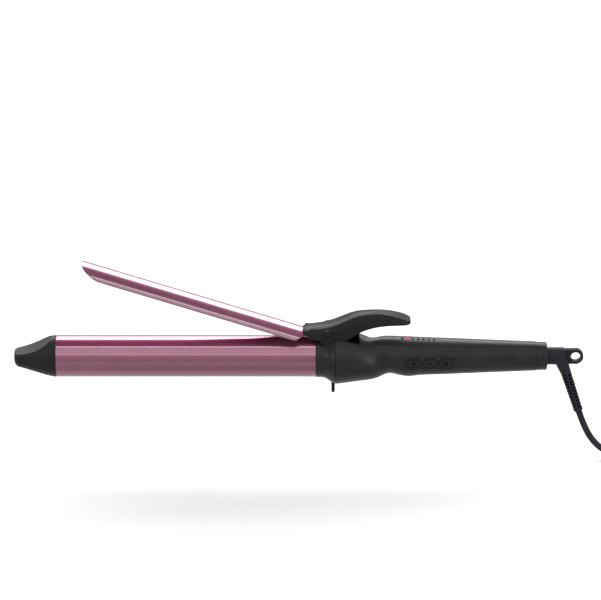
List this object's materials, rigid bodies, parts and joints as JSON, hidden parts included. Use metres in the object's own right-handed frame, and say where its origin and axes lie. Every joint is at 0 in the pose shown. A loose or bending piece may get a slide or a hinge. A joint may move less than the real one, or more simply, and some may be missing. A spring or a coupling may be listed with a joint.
{
  "type": "curling wand",
  "caption": "Clamp-type hair curling wand with a heated barrel, sprung clamp and thumb lever, fold-out stand, side buttons, row of lights and swivel cord.",
  "frame": {"origin": "on the wand's axis at the front end of the hand grip, where the collar meets the handle", "axes": "+X along the axis from the barrel to the cord, +Z towards the thumb lever, -Y the button side"},
  "size_m": [0.6021, 0.0958, 0.1615],
  "materials": {
    "barrel_pink": "glossy metallic",
    "clamp_pink": "glossy metallic",
    "black_grip": "satin soft-touch",
    "black_tip": "satin",
    "black_lever": "satin",
    "panel_black": "semi-gloss",
    "button_black": "satin",
    "light_clear": "frosted",
    "light_red": "lit",
    "boot_rubber": "satin",
    "cord_black": "satin",
    "tie_black": "woven",
    "plug_black": "satin",
    "wire_black": "satin",
    "steel": "plain",
    "brass": "plain",
    "aluminium": "plain",
    "inner_plastic": "plain",
    "board_green": "plain",
    "ceramic": "plain",
    "lead_white": "plain"
  },
  "bodies": {
    "handle": {"cool_tip": "black_tip", "tip_heat_shield": "ceramic", "barrel_tube": "barrel_pink", "barrel_rivets": "steel", "heat_spreader_upper": "aluminium", "heat_spreader_lower": "aluminium", "heating_element": "ceramic", "element_insulator_upper": "ceramic", "element_insulator_lower": "ceramic", "spreader_spring": "steel", "temperature_sensor": "ceramic", "sensor_leads": "lead_white", "thermal_fuse": "steel", "heater_leads": "lead_white", "barrel_collar": "black_grip", "hinge_pin": "steel", "clamp_spring": "steel", "handle_shell": "black_grip", "button_bezel": "panel_black", "indicator_lenses": "light_clear", "indicator_lens_lit": "light_red", "indicator_leds": "ceramic", "indicator_board": "board_green", "chassis_screws": "steel", "chassis": "inner_plastic", "control_board": "board_green", "board_screws": "steel", "tact_switches": "inner_plastic", "filter_capacitor": "inner_plastic", "control_chip": "inner_plastic", "triac": "inner_plastic", "supply_leads": "lead_white", "end_cap": "black_grip", "swivel_socket": "inner_plastic", "brush_contacts": "brass"},
    "clamp": {"thumb_lever": "black_lever", "clamp_plate": "clamp_pink", "clamp_screws": "steel"},
    "stand": {"stand": "wire_black"},
    "swivel": {"swivel_drum": "inner_plastic", "slip_rings": "brass", "cord_boot": "boot_rubber", "cord": "cord_black", "cord_tail": "cord_black", "cord_hank": "cord_black", "hank_tie": "tie_black", "plug_body": "plug_black", "plug_blades": "brass"},
    "button_plus": {"button_plus": "button_black"},
    "button_minus": {"button_minus": "button_black"},
    "button_power": {"button_power": "button_black"}
  },
  "joints": [
    {"name": "clamp_hinge", "type": "hinge", "parent": "handle", "child": "clamp", "pos_m": [-0.005, 0, 0.019], "axis": [0, 1, 0], "range_deg": [-18, 8]},
    {"name": "stand_fold", "type": "hinge", "parent": "handle", "child": "stand", "pos_m": [-0.0015, 0, -0.018], "axis": [0, 1, 0], "range_deg": [0, 90]},
    {"name": "cord_swivel", "type": "hinge", "parent": "handle", "child": "swivel", "pos_m": [0.14, 0, 0], "axis": [1, 0, 0], "continuous": true},
    {"name": "button_plus_press", "type": "slide", "parent": "handle", "child": "button_plus", "axis": [0, 1, 0], "range_m": [0, 0.0005], "stiffness_N_per_m": 200},
    {"name": "button_minus_press", "type": "slide", "parent": "handle", "child": "button_minus", "axis": [0, 1, 0], "range_m": [0, 0.0005], "stiffness_N_per_m": 200},
    {"name": "button_power_press", "type": "slide", "parent": "handle", "child": "button_power", "axis": [0, 1, 0], "range_m": [0, 0.0005], "stiffness_N_per_m": 200}
  ]
}
